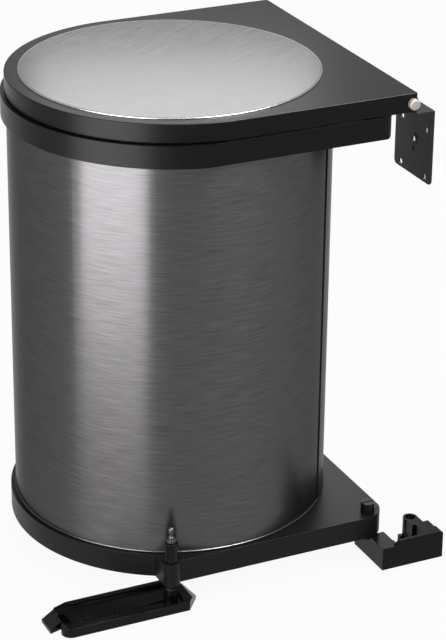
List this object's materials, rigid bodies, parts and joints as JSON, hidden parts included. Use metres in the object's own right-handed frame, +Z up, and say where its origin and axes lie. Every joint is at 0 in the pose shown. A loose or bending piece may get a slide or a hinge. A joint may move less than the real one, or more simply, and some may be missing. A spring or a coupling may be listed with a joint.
{
  "type": "built-in cabinet bin",
  "caption": "Round swing-out bin for a kitchen cabinet: brushed dark steel body on a black tray, black lid with a steel disc, wall and floor brackets and a door driver.",
  "frame": {"origin": "foot of the floor screw's hole, on the cabinet floor", "axes": "+X to the cabinet's side wall, -Y to the cabinet's door, +Z up"},
  "size_m": [0.346, 0.2929, 0.4107],
  "materials": {
    "black_enamel": "gloss",
    "grey_enamel": "satin",
    "dark_steel": "brushed",
    "disc_steel": "brushed",
    "bright_steel": "polished",
    "black_plastic": "satin",
    "nylon": "satin",
    "bucket_plastic": "matt"
  },
  "bodies": {
    "fixings": {"wall_bracket": "grey_enamel", "hinge_lugs": "grey_enamel", "upper_pivot_pin": "bright_steel", "lid_axle": "bright_steel", "axle_caps": "bright_steel", "floor_bracket": "black_plastic", "lower_pivot_pin": "bright_steel", "thrust_washer": "nylon"},
    "bin": {"base_tray": "black_enamel", "base_underplate": "dark_steel", "underplate_screws": "bright_steel", "body_shell": "dark_steel", "seam_lap": "dark_steel", "body_floor": "dark_steel", "body_screws": "bright_steel", "top_frame": "black_enamel", "frame_rivets": "bright_steel", "lift_cam": "nylon", "upper_bush": "nylon", "lower_bush": "nylon", "pivot_cap": "black_plastic", "driver_rod": "bright_steel", "rod_sleeve": "black_plastic", "rod_clip": "bright_steel", "rod_circlip": "bright_steel"},
    "lid": {"lid_shell": "black_enamel", "lid_disc": "disc_steel", "disc_studs": "bright_steel", "disc_nuts": "bright_steel", "lid_bushes": "nylon", "lid_follower": "nylon"},
    "bucket": {"inner_bucket": "bucket_plastic"},
    "driver": {"door_driver": "black_plastic", "driver_hub": "black_plastic"}
  },
  "joints": [
    {"name": "swing", "type": "hinge", "parent": "fixings", "child": "bin", "pos_m": [-0.0425, -0.0015, 0.0267], "axis": [0, 0, 1], "range_deg": [0, 90]},
    {"name": "lid_tilt", "type": "hinge", "parent": "fixings", "child": "lid", "pos_m": [-0.02, 0.124, 0.401], "axis": [0, 1, 0], "range_deg": [0, 18]},
    {"name": "driver_turn", "type": "hinge", "parent": "bin", "child": "driver", "pos_m": [-0.2265, -0.0095, 0.008], "axis": [0, 0, 1], "range_deg": [-20, 45]},
    {"name": "bucket_lift", "type": "slide", "parent": "bin", "child": "bucket", "axis": [0, 0, 1], "range_m": [0, 0.012]}
  ],
  "couplings": [
    {"joint": "lid_tilt", "follows": "swing", "ratio": 0.2}
  ]
}
